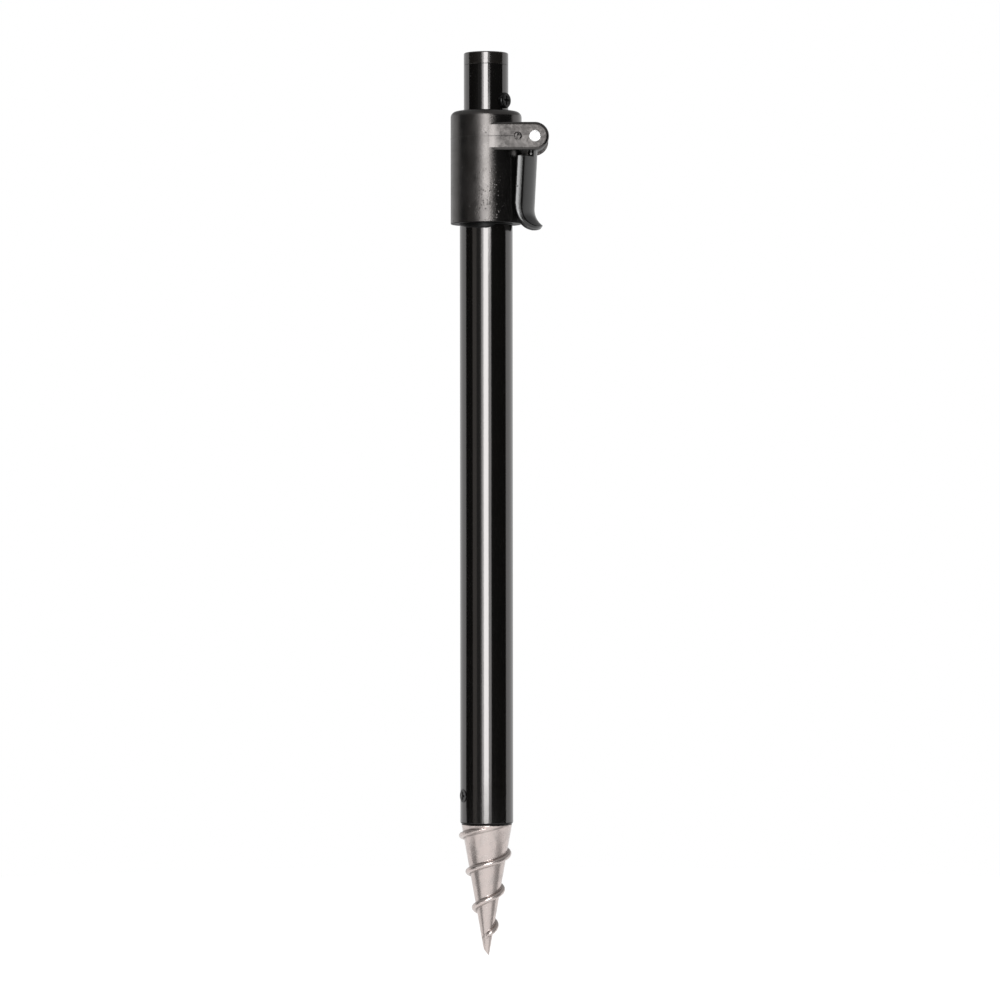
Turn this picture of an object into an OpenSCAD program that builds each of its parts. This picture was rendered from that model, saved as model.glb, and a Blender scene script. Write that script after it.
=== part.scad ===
// Telescopic bank stick with a screw-in ground spike and a cam-lever tube lock.
// Millimetres. Z runs up the stick and zero is at the tip of the spike.
// The lever is on the +X side, and the front of the stick faces -Y.
// The stick is drawn closed, with the lever down and locked.

/* [Inner tube] */
// Outside diameter of the inner tube
inner_d = 16; // [14:0.5:18]
// Wall of the inner tube
inner_wall = 1.1; // [0.9:0.1:1.4]
// Height of the inner stage above the collar when the stick is closed
show_h = 21.1; // [21:0.1:60]

/* [Outer tube] */
// Length of the outer tube
outer_len = 238.6; // [160:0.2:360]
// Wall of the outer tube
outer_wall = 1.2; // [1:0.1:1.6]
// Radial gap between the two tubes
tube_gap = 0.3; // [0.25:0.05:0.6]
// Rounding of the outer tube's lower edge
outer_edge = 0.9; // [0.4:0.1:0.9]

/* [Ground spike] */
// Length of the cone below the outer tube
spike_len = 47.4; // [36:0.2:70]
// How far the root of the cone stands in from the outside of the tube
spike_step = 0.4; // [0.4:0.1:0.9]
// Radius of the cone where it ends at the tip
tip_r = 0.74; // [0.4:0.02:1]
// Slope of the cut that sharpens the tip, in degrees from level
tip_cut = 52; // [45:1:70]
// Length of the spigot that plugs the outer tube
spigot_len = 20; // [16:1:30]
// Rise of the screw bead in one turn
bead_pitch = 13; // [9:0.5:18]
// Radius of the bead's round section
bead_r = 1; // [0.7:0.05:1.3]
// How far the bead stands proud of the cone
bead_proud = 1.65; // [1:0.05:1.9]
// Height of the bead's lower end above the tip
bead_start = 7.1; // [5:0.1:12]
// Direction of the bead's lower end, in degrees round from the front
bead_start_turn = -10; // [-180:5:180]

/* [Collar] */
// Length of the collar
collar_len = 40.5; // [38:0.1:60]
// Length of the outer tube that the collar grips
collar_grip = 22.6; // [18:0.1:24]
// Wall of the collar around the outer tube
collar_wall = 3.25; // [2.8:0.05:4.5]
// Rounding of the collar's upper edge
collar_edge = 2.1; // [0.8:0.1:2.4]
// Rounding of the collar's lower edge
collar_low_edge = 0.3; // [0.2:0.1:0.8]
// Thickness of each ear
ear_t = 2.95; // [2.4:0.05:3.4]
// Radius of the round end of an ear
ear_r = 5.05; // [4.6:0.05:6]
// Rounding of an ear's outer edges
ear_edge = 1.15; // [0.3:0.05:1.2]
// Drop from the top of the collar to the pivot
pivot_drop = 9.75; // [8.6:0.05:11]

/* [Cam lever] */
// Radius of the lever's hub
hub_r = 4.4; // [4.2:0.1:5]
// Length of the straight arm, from the pivot down
arm_len = 25.1; // [20:0.1:34]
// How far the arm leans in towards the stick, in degrees
arm_tilt = 3; // [0:0.2:3.6]
// Distance of the arm's outer face outside the pivot
arm_out = 1.28; // [0.8:0.02:2.4]
// Radius of the arm's rounded outer face
arm_outer_r = 11.2; // [10.8:0.1:14]
// Radius of the arm's hollow inner face
arm_inner_r = 11.8; // [11.4:0.1:14]
// How far each side of the arm lies in from the end of the hub
arm_inset = 0.1; // [0.1:0.05:0.4]
// Wall of the arm at the middle
arm_wall = 2.2; // [1.8:0.1:2.6]
// Width of the arm's neck between the ears, along the pivot
neck_w = 10; // [9.4:0.2:14]
// Drop from the pivot to the shoulders, where the arm widens
neck_drop = 6.9; // [6:0.1:9]
// Radius of the bend that turns the finger lip outwards
lip_r = 7; // [5:0.5:10]
// Angle that the finger lip turns through, in degrees
lip_turn = 58; // [40:2:70]
// Rounding of the finger lip's lower edge, seen from the front
lip_round = 7; // [6:0.1:8]
// Height of the arm's upper end above the pivot
arm_top = 2.5; // [1:0.1:3.5]
// Rounding of the arm's upper end, about the pivot
arm_top_r = 6; // [5.8:0.1:6.6]
// How far the cam stands proud of the hub when it is locked
cam_rise = 0.6; // [0.6:0.05:0.8]
// How far the cam lets the pad back when the lever is open
cam_drop = 0.56; // [0.4:0.02:0.56]
// Angle that the lever opens through, in degrees
lever_open = 110; // [90:5:120]

/* [Pressure pad] */
// Width of the pad, along the pivot
pad_w = 9.2; // [7:0.2:10]
// Height of the pad
pad_h = 9.2; // [7:0.2:10]

/* [Pivot pin] */
// Outside diameter of the hollow pivot pin
pin_d = 5; // [4.4:0.1:5.2]
// Wall of the pivot pin
pin_wall = 0.5; // [0.4:0.05:0.8]
// Width of the slot along the pin
pin_slot = 0.8; // [0.5:0.1:1.2]
// How far each end of the pin lies below the face of its ear
pin_sink = 0.2; // [0.1:0.05:0.5]

/* [Tube guide] */
// Length of the guide's sliding band below the inner tube
guide_len = 18; // [12:1:26]
// Length of the guide's neck inside the inner tube
guide_neck = 16; // [12:1:24]
// Radius of the hole through the guide
guide_bore_r = 4; // [3:0.25:4.5]
// Radius of the dimples that hold the inner tube on the guide
dimple_r = 1.1; // [0.9:0.05:1.2]
// Height of the dimples above the lower end of the inner tube
dimple_z = 8; // [6:0.5:9]

/* [Top fitting] */
// Height of the rim that closes the inner tube
rim_h = 4.45; // [3:0.05:8]
// Depth of the plug below the rim
plug_len = 18.5; // [17.5:0.5:26]
// Radius of the plain wall that stands for the female thread
thread_r = 4.15; // [3.6:0.05:4.4]
// Depth of the threaded bush
thread_len = 14; // [9:0.5:14]
// Wall of the threaded bush
bush_wall = 1.2; // [0.8:0.1:1.4]

/* [Screws] */
// Thread diameter of both screws
screw_d = 3; // [2.6:0.1:3.2]
// Head diameter of the screw through the inner tube
pan_d = 5.7; // [5:0.1:6]
// Head height of the screw through the inner tube
pan_h = 1.65; // [1.2:0.05:2]
// Length of the screw through the inner tube, below its head
pan_len = 4.5; // [3:0.5:6]
// Drop from the top of the rim to the screw through the inner tube
pan_drop = 17.5; // [17.3:0.1:17.8]
// Direction of the screw through the inner tube, in degrees round from the front
pan_turn = 50; // [-180:5:180]
// Head diameter of the screw through the outer tube
sunk_d = 4.9; // [4.6:0.1:5.4]
// Length of the screw through the outer tube, with its head
sunk_len = 6.5; // [5:0.5:8]
// Height of that screw above the lower end of the outer tube
sunk_rise = 10.4; // [8:0.2:12]
// Direction of that screw, in degrees round from the front
sunk_turn = -64; // [-180:1:180]

/* [Clearances] */
// Radial clearance of pieces that slide or turn on each other
run_fit = 0.05; // [0.03:0.01:0.08]
// Radial clearance of pieces that are pressed or bonded together
seat_fit = 0.03; // [0.02:0.01:0.05]
// Gap between the faces of pieces that move past each other
face_gap = 0.3; // [0.25:0.05:0.4]
// Clearance on each side of the pad in its window
window_gap = 0.1; // [0.08:0.02:0.2]

/* [Hidden] */
$fn = 96;

// Radii of the tubes, worked out from the inner tube outwards
inner_r = inner_d / 2;
inner_bore_r = inner_r - inner_wall;
outer_bore_r = inner_r + tube_gap;
outer_r = outer_bore_r + outer_wall;
root_r = outer_r - spike_step;
collar_r = outer_r + seat_fit + collar_wall;
guide_hole_r = inner_r + run_fit;

// Heights from the tip upwards
spigot_top = spike_len + spigot_len;
guide_z = spigot_top + face_gap;
guide_top = guide_z + guide_len;
inner_z = guide_top + window_gap;
outer_top = spike_len + outer_len;
step_z = outer_top + seat_fit;
collar_z = outer_top - collar_grip;
collar_top = collar_z + collar_len;
stick_top = collar_top + show_h;
inner_top = stick_top - rim_h;
pan_z = stick_top - pan_drop;
sunk_z = spike_len + sunk_rise;

// The lever's pivot, its width between the ears, and its two widths of wall
pivot_x = collar_r + hub_r + face_gap;
pivot_z = collar_top - pivot_drop;
ear_face = collar_r - 0.05;
ear_inside = ear_face - ear_t;
lever_w = 2 * (ear_inside - face_gap);
arm_w = lever_w - 2 * arm_inset;
pin_r = pin_d / 2;
pin_len = 2 * (ear_face - pin_sink);
cam_reach = hub_r + cam_rise;
pad_back = pivot_x - cam_reach - face_gap;
window_w = pad_w + 2 * window_gap;
window_h = pad_h + 2 * window_gap;

// Inner corner of the arm's section, and the centre that the lip's lower edge is rounded about
arm_corner_x = arm_out - arm_wall - arm_inner_r + sqrt(pow(arm_inner_r, 2) - pow(arm_w / 2, 2));
lip_round_x = arm_corner_x - 0.25 + lip_round;
lip_round_z = -arm_len - 1.1;

// The countersunk screw's head stands this far out from the stick's axis
sunk_head_x = outer_r + 0.1;

// Sweep of the bead: one ring every bead_step degrees, tapered over bead_taper degrees at its ends
bead_step = 15;
bead_sides = 10;
bead_taper = 60;
bead_top_gap = 0.9;
bead_rise = spike_len - bead_top_gap - bead_start;
bead_rings = ceil(360 * bead_rise / bead_pitch / bead_step);

// Radius of the spike's cone at a height
function cone_r(z) = tip_r + (root_r - tip_r) * z / spike_len;

// Share of the bead's full section at ring i, from 0.12 at its ends to 1
function bead_share(i) =
    let (near_end = min(i, bead_rings - i) * bead_step / bead_taper)
    0.12 + 0.88 * sin(90 * min(1, near_end));

// One point of the bead's surface: ring i, corner k
function bead_point(i, k) =
    let (
        part = i / bead_rings,
        around = bead_start_turn - 90 + 360 * bead_rise / bead_pitch * part,
        z = bead_start + bead_rise * part,
        section_r = bead_r * bead_share(i),
        r = cone_r(z) + (bead_proud - bead_r) * bead_share(i) + section_r * cos(360 * k / bead_sides),
        up = section_r * sin(360 * k / bead_sides)
    )
    [r * cos(around), r * sin(around), z + up];

// Distance from the pivot to the cam's surface, at an angle up from +X; past the cam it is inside the hub
function cam_at(a) =
    a >= 180 - lever_open && a <= 180 ? cam_reach - cam_drop * (180 - a) / lever_open :
    a > 180 && a <= 215 ? cam_reach :
    a > 215 && a <= 245 ? cam_reach - (cam_reach - hub_r) * (a - 215) / 35 :
    hub_r - cam_rise;

// Points its children outwards: X is out from the stick, turned round from the front
module facing(turn) {
    rotate([0, 0, turn - 90]) children();
}

// A rectangle from the axis out, with its outer corners rounded
module turned_outline(r, h, low_edge, high_edge) {
    square([r - low_edge, h - high_edge]);
    translate([0, low_edge]) square([r - high_edge, h - low_edge]);
    translate([0, low_edge]) square([r, h - low_edge - high_edge]);
    if (low_edge > 0) translate([r - low_edge, low_edge]) circle(r = low_edge);
    if (high_edge > 0) translate([r - high_edge, h - high_edge]) circle(r = high_edge);
}

// The raised screw bead, as one closed sweep
module bead() {
    points = [for (i = [0 : bead_rings]) for (k = [0 : bead_sides - 1]) bead_point(i, k)];
    sides = [for (i = [0 : bead_rings - 1]) for (k = [0 : bead_sides - 1])
        let (a = i * bead_sides + k, b = i * bead_sides + (k + 1) % bead_sides)
        for (face = [[a, b, b + bead_sides], [a, b + bead_sides, a + bead_sides]]) face];
    low_end = [for (k = [bead_sides - 1 : -1 : 0]) k];
    high_end = [for (k = [0 : bead_sides - 1]) bead_rings * bead_sides + k];
    polyhedron(points, concat([low_end], sides, [high_end]), convexity = 8);
}

// Cone, bead and spigot, cast in one piece, with a hole for its screw
module spike() {
    color([0.8, 0.77, 0.75]) difference() {
        union() {
            cylinder(h = spike_len, r1 = tip_r, r2 = root_r);
            bead();
            translate([0, 0, spike_len]) cylinder(h = spigot_len, r = outer_bore_r - seat_fit);
        }
        tip_cutter();
        facing(sunk_turn) translate([outer_r - sunk_len - 1, 0, sunk_z]) rotate([0, 90, 0])
            cylinder(h = sunk_len + 1, d = screw_d + 2 * seat_fit);
    }
}

// The block that cuts the left side of the tip away at a slope
module tip_cutter() {
    size = 12 * tip_r;
    translate([tip_r, 0, 0]) rotate([0, tip_cut, 0]) translate([-size, -size, -size])
        cube([2 * size, 2 * size, size]);
}

// Countersunk screw, drawn along X with the top of its head at zero; loose widens it
module sunk_screw_body(loose) {
    head_r = sunk_d / 2;
    shank_r = screw_d / 2;
    rotate([0, -90, 0]) {
        cylinder(h = head_r - shank_r, r1 = head_r + loose, r2 = shank_r + loose);
        cylinder(h = sunk_len, r = shank_r + loose);
    }
}

// A cross recess in a screw head, cut from the top down
module cross_recess(width, depth) {
    for (turn = [0, 90]) rotate([turn, 0, 0]) translate([-depth, -width / 2, -0.4])
        cube([depth + 1, width, 0.8]);
}

// Screw that holds the spike in the outer tube
module spike_screw() {
    color([0.16, 0.16, 0.17]) facing(sunk_turn) translate([sunk_head_x, 0, sunk_z]) difference() {
        sunk_screw_body(0);
        cross_recess(0.56 * sunk_d, 0.7);
    }
}

// Lower tube: a plain tube with a rounded lower edge and a countersunk hole for the spike's screw
module outer_tube() {
    color([0.05, 0.05, 0.055]) difference() {
        translate([0, 0, spike_len]) rotate_extrude() difference() {
            turned_outline(outer_r, outer_len, outer_edge, 0);
            translate([0, -1]) square([outer_bore_r, outer_len + 2]);
        }
        facing(sunk_turn) translate([sunk_head_x, 0, sunk_z]) {
            sunk_screw_body(seat_fit);
            rotate([0, 90, 0]) cylinder(h = 1, r = sunk_d / 2 + seat_fit);
        }
    }
}

// An ear plate, drawn upwards from its inner face at zero, with its outer edges rounded
module ear_outline() {
    square([ear_r, ear_t - ear_edge]);
    square([ear_r - ear_edge, ear_t]);
    translate([ear_r - ear_edge, ear_t - ear_edge]) circle(r = ear_edge);
}

// Front ear; the back one is its mirror image
module ear() {
    translate([0, -ear_inside, pivot_z]) {
        translate([pivot_x, 0, 0]) rotate([90, 0, 0]) rotate_extrude() ear_outline();
        for (down = [0, 1]) mirror([0, 0, down]) rotate([90, 0, 90]) linear_extrude(pivot_x)
            rotate(90) ear_outline();
    }
}

// Collar: grips the outer tube, guides the inner one, and carries the lever and the pad
module collar_body() {
    chamfer = 0.5;
    color([0.1, 0.1, 0.105]) difference() {
        union() {
            translate([0, 0, collar_z]) rotate_extrude()
                turned_outline(collar_r, collar_len, collar_low_edge, collar_edge);
            ear();
            mirror([0, 1, 0]) ear();
        }
        translate([0, 0, collar_z - 1]) cylinder(h = step_z - collar_z + 1, r = outer_r + seat_fit);
        translate([0, 0, collar_z - 1]) cylinder(h = collar_len + 2, r = guide_hole_r);
        translate([0, 0, collar_top - chamfer])
            cylinder(h = 2 * chamfer, r1 = guide_hole_r, r2 = guide_hole_r + 2 * chamfer);
        translate([0, -window_w / 2, pivot_z - window_h / 2]) cube([collar_r + 1, window_w, window_h]);
        translate([pivot_x, 0, pivot_z]) rotate([90, 0, 0])
            cylinder(h = 2 * collar_r + 2, r = pin_r + seat_fit, center = true);
    }
}

// Hollow spring pin through both ears and the lever's hub, with its slot towards the stick
module pivot_pin() {
    color([0.2, 0.2, 0.21]) translate([pivot_x, 0, pivot_z]) difference() {
        rotate([90, 0, 0]) cylinder(h = pin_len, r = pin_r, center = true);
        rotate([90, 0, 0]) cylinder(h = pin_len + 2, r = pin_r - pin_wall, center = true);
        translate([-pin_r, 0, 0]) cube([pin_r, pin_len + 2, pin_slot], center = true);
    }
}

// Section of the lever's arm: X is out from the pivot, Y along it
module arm_section() {
    intersection() {
        difference() {
            translate([arm_out - arm_outer_r, 0]) circle(r = arm_outer_r);
            translate([arm_out - arm_wall - arm_inner_r, 0]) circle(r = arm_inner_r);
        }
        translate([arm_out - arm_outer_r, -arm_w / 2]) square([arm_outer_r + 1, arm_w]);
    }
}

// The straight arm, narrowed to its neck above the shoulders and rounded at its upper end
module arm() {
    difference() {
        intersection() {
            translate([0, 0, -arm_len]) linear_extrude(arm_len + arm_top) arm_section();
            union() {
                rotate([90, 0, 0]) cylinder(h = lever_w + 2, r = arm_top_r, center = true);
                translate([-2 * arm_top_r, -lever_w, -arm_len - 1])
                    cube([4 * arm_top_r, 2 * lever_w, arm_len + 1]);
            }
        }
        for (side = [0, 1]) mirror([0, side, 0]) translate([-2 * arm_top_r, neck_w / 2, -neck_drop])
            cube([4 * arm_top_r, lever_w, neck_drop + arm_top + 1]);
    }
}

// Finger lip: the arm's section turned outwards, with its lower edge rounded
module lip() {
    bend_x = arm_out + lip_r;
    intersection() {
        translate([bend_x, 0, -arm_len]) rotate([0, 180, 0]) rotate([90, 0, 0])
            rotate_extrude(angle = lip_turn) translate([bend_x, 0]) mirror([1, 0]) arm_section();
        union() {
            translate([lip_round_x, 0, lip_round_z]) rotate([90, 0, 0])
                cylinder(h = lever_w + 2, r = lip_round, center = true);
            translate([-collar_r, -lever_w, lip_round_z]) cube([2 * collar_r, 2 * lever_w, arm_len]);
        }
    }
}

// The cam's outline in the plane across the pivot
module cam_outline() {
    polygon([for (a = [0 : 5 : 355]) cam_at(a) * [cos(a), sin(a)]]);
}

module cam_lever() {
    color([0.12, 0.12, 0.125]) translate([pivot_x, 0, pivot_z]) difference() {
        union() {
            rotate([90, 0, 0]) cylinder(h = lever_w, r = hub_r, center = true);
            rotate([90, 0, 0]) linear_extrude(pad_w - face_gap, center = true) cam_outline();
            rotate([0, arm_tilt, 0]) {
                arm();
                lip();
            }
        }
        rotate([90, 0, 0]) cylinder(h = lever_w + 2, r = pin_r + run_fit, center = true);
    }
}

// Brake pad in the collar's window, hollowed to the inner tube
module pressure_pad() {
    color([0.75, 0.62, 0.35]) difference() {
        translate([inner_r / 2, -pad_w / 2, pivot_z - pad_h / 2])
            cube([pad_back - inner_r / 2, pad_w, pad_h]);
        translate([0, 0, pivot_z - pad_h]) cylinder(h = 2 * pad_h, r = guide_hole_r);
    }
}

// Bush on the inner tube's lower end: it slides in the outer tube and stops under the collar
module tube_guide() {
    neck_r = inner_bore_r - run_fit;
    groove_r = inner_bore_r - dimple_r / 2 - face_gap;
    color([0.85, 0.85, 0.82]) translate([0, 0, guide_z]) rotate_extrude() difference() {
        union() {
            turned_outline(outer_bore_r - run_fit, guide_len, 0.6, 0.2);
            square([neck_r, guide_len + guide_neck]);
        }
        translate([0, -1]) square([guide_bore_r, guide_len + guide_neck + 2]);
        translate([groove_r, guide_len + window_gap + dimple_z - dimple_r - face_gap])
            square([neck_r, 2 * (dimple_r + face_gap)]);
        for (part = [1, 2]) translate([outer_bore_r - 0.5, guide_len * part / 3]) square([1, 1.2]);
    }
}

// Upper tube: three dimples near its lower end run in the guide's groove
module inner_tube() {
    dent_x = inner_bore_r + dimple_r / 2;
    press_r = 1.25 * dimple_r;
    color([0.05, 0.05, 0.055]) difference() {
        union() {
            translate([0, 0, inner_z]) difference() {
                cylinder(h = inner_top - inner_z, r = inner_r);
                translate([0, 0, -1]) cylinder(h = inner_top - inner_z + 2, r = inner_bore_r);
            }
            for (turn = [0, 120, 240]) facing(turn) translate([dent_x, 0, inner_z + dimple_z])
                sphere(r = dimple_r);
        }
        for (turn = [0, 120, 240]) facing(turn) translate([inner_r + press_r / 2, 0, inner_z + dimple_z])
            sphere(r = press_r);
        pan_screw_hole(inner_r);
    }
}

// The hole for the screw through the inner tube, out to a radius
module pan_screw_hole(reach) {
    facing(pan_turn) translate([inner_r - pan_len - 0.5, 0, pan_z]) rotate([0, 90, 0])
        cylinder(h = reach - inner_r + pan_len + 1, d = screw_d + 2 * seat_fit);
}

// Plug in the top of the inner tube, with a rim as wide as the tube
module top_plug() {
    pocket_r = thread_r + bush_wall + seat_fit;
    color([0.06, 0.06, 0.065]) difference() {
        union() {
            translate([0, 0, inner_top]) rotate_extrude() turned_outline(inner_r, rim_h, 0, 0.4);
            translate([0, 0, inner_top - plug_len]) cylinder(h = plug_len, r = inner_bore_r - seat_fit);
        }
        translate([0, 0, stick_top - thread_len]) cylinder(h = thread_len + 1, r = pocket_r);
        pan_screw_hole(inner_r);
    }
}

// Brass bush with the female thread, drawn as a plain wall at the tapping size
module thread_bush() {
    mouth = 0.4;
    color([0.78, 0.6, 0.3]) translate([0, 0, stick_top - thread_len]) difference() {
        cylinder(h = thread_len - 0.1, r = thread_r + bush_wall);
        translate([0, 0, -1]) cylinder(h = thread_len + 2, r = thread_r);
        translate([0, 0, thread_len - 0.1 - mouth])
            cylinder(h = mouth + 0.01, r1 = thread_r, r2 = thread_r + mouth);
    }
}

// Round-headed screw that holds the plug in the inner tube
module plug_screw() {
    head_r = pan_d / 2;
    color([0.1, 0.1, 0.11]) facing(pan_turn) translate([inner_r + seat_fit, 0, pan_z]) difference() {
        union() {
            rotate([0, 90, 0]) rotate_extrude() turned_outline(head_r, pan_h, 0, 0.45 * pan_h);
            rotate([0, -90, 0]) cylinder(h = pan_len, d = screw_d);
        }
        translate([pan_h, 0, 0]) cross_recess(0.6 * pan_d, 1);
    }
}

spike();
spike_screw();
outer_tube();
collar_body();
pivot_pin();
cam_lever();
pressure_pad();
tube_guide();
inner_tube();
top_plug();
thread_bush();
plug_screw();
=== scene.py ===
"""Visual model of a telescopic bank stick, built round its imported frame.

Each sub-assembly is a class that builds its meshes and dresses them, and each finish is a frozen
dataclass that makes one node material. Sizes are in millimetres in the classes and in metres in the
meshes. The stick stands on +Z, the lever is on +X and the photograph looks along +Y.
"""
import logging
import math
from dataclasses import dataclass
from enum import Enum
from typing import Callable, Optional, Sequence

import bmesh
import bpy
import numpy as np
from bpy.types import ID, Material, Mesh, Node, NodeSocket, NodeTree, Object
from mathutils import Matrix, Vector, noise


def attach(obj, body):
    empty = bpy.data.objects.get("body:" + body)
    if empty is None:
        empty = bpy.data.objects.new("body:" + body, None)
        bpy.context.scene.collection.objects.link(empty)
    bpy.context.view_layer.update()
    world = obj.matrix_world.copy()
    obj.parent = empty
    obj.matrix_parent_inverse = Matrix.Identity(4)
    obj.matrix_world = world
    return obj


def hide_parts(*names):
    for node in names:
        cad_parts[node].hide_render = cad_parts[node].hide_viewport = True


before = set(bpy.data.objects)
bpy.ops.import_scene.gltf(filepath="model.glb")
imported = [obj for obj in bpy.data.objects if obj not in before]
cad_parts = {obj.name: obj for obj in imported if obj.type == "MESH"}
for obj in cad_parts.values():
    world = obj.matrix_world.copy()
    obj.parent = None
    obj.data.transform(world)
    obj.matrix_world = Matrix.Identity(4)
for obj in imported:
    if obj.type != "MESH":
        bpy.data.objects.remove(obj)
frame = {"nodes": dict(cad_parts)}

Pair = tuple[float, float]
Loop = list[Pair]
Colour = tuple[float, float, float, float]

LOG = logging.getLogger("bank_stick")
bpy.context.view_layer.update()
MM = 0.001
# Radius at which a turned profile ends, since a ring can't have none
AXIS = 1e-4
# The lever's pivot: its distance from the stick's axis, and its height
PIVOT = (17.48, 294.15)
WHITE = (1, 1, 1, 1)


# Mesh tools


def turn_outwards(mesh: Mesh) -> None:
    """Merges a mesh's doubles and turns its faces outwards."""
    work = bmesh.new()
    work.from_mesh(mesh)
    bmesh.ops.remove_doubles(work, verts=work.verts, dist=1e-7)
    bmesh.ops.dissolve_degenerate(work, edges=work.edges, dist=1e-8)
    bmesh.ops.recalc_face_normals(work, faces=work.faces)
    work.to_mesh(mesh)
    work.free()


def loft(name: str, rings: Sequence, closed: bool = False) -> Mesh:
    """Joins rings of points into one skin.

    Args:
        name: The mesh's name.
        rings: The points of each ring, in millimetres.
        closed: Whether the last ring joins the first, as round a tube's wall. Otherwise both ends are capped.

    Returns:
        The closed mesh, in metres.
    """
    points = np.array(rings, float)
    count, sides = points.shape[:2]
    faces = []
    for i in range(count if closed else count - 1):
        a, b = i * sides, (i + 1) % count * sides
        faces += [[a + k, a + (k + 1) % sides, b + (k + 1) % sides, b + k] for k in range(sides)]
    if not closed:
        faces += [list(range(sides)), list(range((count - 1) * sides, count * sides))]
    mesh = bpy.data.meshes.new(name)
    mesh.from_pydata((points.reshape(-1, 3) * MM).tolist(), [], faces)
    turn_outwards(mesh)
    return mesh


def circle(radius: float, count: int) -> Loop:
    """Points evenly round a circle."""
    turns = np.linspace(0, 2 * math.pi, count, endpoint=False)
    return [(radius * math.cos(t), radius * math.sin(t)) for t in turns]


def arc(centre: Pair, radius: float, start: float, end: float, steps: int) -> Loop:
    """Points of an arc, from one angle in degrees to another."""
    angles = np.radians(np.linspace(start, end, steps + 1))
    return [(centre[0] + radius * math.cos(a), centre[1] + radius * math.sin(a)) for a in angles]


def lathe(name: str, profile: Loop, sides: int, closed: bool = False) -> Mesh:
    """Turns a profile of radii and heights about Z. One that isn't closed starts and ends on the axis."""
    return loft(name, [[(x, y, z) for x, y in circle(r, sides)] for r, z in profile], closed)


def facing(turn: float, out: float, height: float) -> Matrix:
    """The place of a screw whose own +Z points out from the stick's axis.

    Args:
        turn: Direction in degrees round from the front.
        out: Distance of its zero from the axis, in millimetres.
        height: Its height, in millimetres.

    Returns:
        The matrix, in metres.
    """
    angle = math.radians(turn - 90)
    outward = Vector((math.cos(angle), math.sin(angle), 0))
    place = Matrix.Translation((outward * out + Vector((0, 0, height))) * MM)
    return place @ outward.to_track_quat("Z", "Y").to_matrix().to_4x4()


def joined(name: str, *meshes: Mesh) -> Mesh:
    """Puts several meshes in one, each as a shell of its own."""
    work = bmesh.new()
    for mesh in meshes:
        work.from_mesh(mesh)
    result = bpy.data.meshes.new(name)
    work.to_mesh(result)
    work.free()
    return result


def new_object(name: str, data: ID, *more: Mesh) -> Object:
    """Links a new object for a mesh or other data, or for several meshes as shells of their own."""
    piece = bpy.data.objects.new(name, joined(name, data, *more) if more else data)
    bpy.context.scene.collection.objects.link(piece)
    return piece


def flat(name: str, corners: Sequence, finish: Material) -> Object:
    """A flat piece of scenery, with its corners in metres."""
    mesh = bpy.data.meshes.new(name)
    mesh.from_pydata(corners, [], [list(range(len(corners)))])
    mesh.materials.append(finish)
    return new_object(name, mesh)


def baked(piece: Object) -> Object:
    """Turns an object's evaluated result into its plain mesh, and removes its modifiers."""
    bpy.context.view_layer.update()
    graph = bpy.context.evaluated_depsgraph_get()
    mesh = bpy.data.meshes.new_from_object(piece.evaluated_get(graph), depsgraph=graph)
    piece.modifiers.clear()
    piece.data = mesh
    return piece


def cut(piece: Object, tool: Mesh, union: bool = False) -> Object:
    """Cuts a mesh out of an object, or joins it on, and bakes the result."""
    helper = new_object(f"{piece.name}_tool", tool)
    boolean = piece.modifiers.new("cut", "BOOLEAN")
    boolean.operation = "UNION" if union else "DIFFERENCE"
    boolean.solver = "EXACT"
    boolean.object = helper
    baked(piece)
    bpy.data.objects.remove(helper)
    return piece


def fused(piece: Object, voxel: float) -> Object:
    """Melts an object's shells into one skin.

    Args:
        piece: The object.
        voxel: The grid's step, in millimetres.

    Returns:
        The same object, with its new mesh.
    """
    remesh = piece.modifiers.new("fuse", "REMESH")
    remesh.mode = "VOXEL"
    remesh.voxel_size = voxel * MM
    return baked(piece)


def vertex_points(mesh: Mesh) -> np.ndarray:
    """A mesh's points, in millimetres."""
    points = np.zeros(len(mesh.vertices) * 3)
    mesh.vertices.foreach_get("co", points)
    return points.reshape(-1, 3) / MM


def soften(mesh: Mesh, rounds: int = 7, weight: Optional[np.ndarray] = None) -> None:
    """Smooths a mesh by moving each point towards its neighbours' middle.

    Args:
        mesh: The mesh.
        rounds: How many times it is smoothed and swelled back.
        weight: How far each point follows, from 0 to 1.
    """
    ends = np.zeros(len(mesh.edges) * 2, np.int32)
    mesh.edges.foreach_get("vertices", ends)
    a, b = ends.reshape(-1, 2).T
    count = np.bincount(ends, minlength=len(mesh.vertices)).astype(float)[:, None]
    points = vertex_points(mesh)
    share = 1.0 if weight is None else weight[:, None]
    shrink, swell = 0.5, -0.52
    for step in (shrink, swell) * rounds:
        sums = [np.bincount(a, p[b], len(p)) + np.bincount(b, p[a], len(p)) for p in points.T]
        points += share * step * (np.column_stack(sums) / count - points)
    mesh.vertices.foreach_set("co", (points * MM).ravel())
    mesh.update()


# Node tools


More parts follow.
